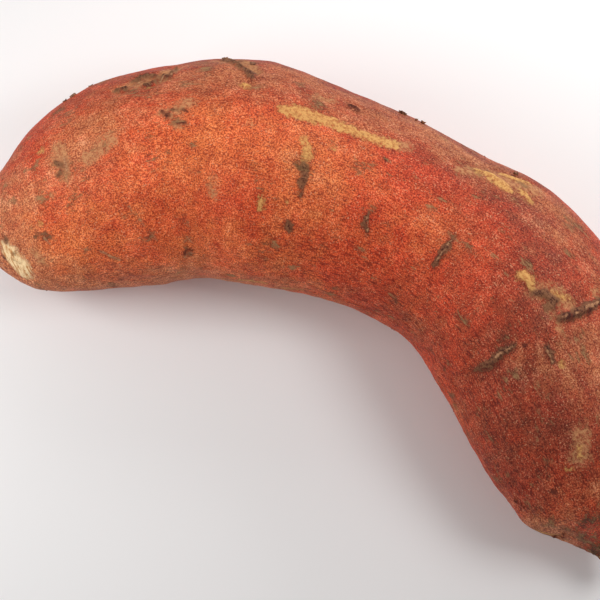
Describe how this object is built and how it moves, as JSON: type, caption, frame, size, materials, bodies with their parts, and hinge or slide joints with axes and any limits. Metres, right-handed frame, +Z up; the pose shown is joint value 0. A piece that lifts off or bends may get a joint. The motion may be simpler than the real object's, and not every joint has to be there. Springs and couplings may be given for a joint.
{
  "type": "sweet potato",
  "caption": "Whole raw sweet potato, one thick bent root tapering to a blunt tip, with a short woody stem stub at the crown.",
  "frame": {"origin": "middle of the bounding box in plan, on the surface it lies on", "axes": "+Z up, away from the surface; +X along the longest side, from the root tip towards the crown; the crown bends round towards -Y"},
  "size_m": [0.2002, 0.145, 0.0624],
  "materials": {
    "skin": "raw unpeeled skin, orange-red with fine grain, tan cork scars and dark root pits, matt"
  },
  "bodies": {
    "root": {"sweet_potato": "skin"}
  },
  "joints": []
}
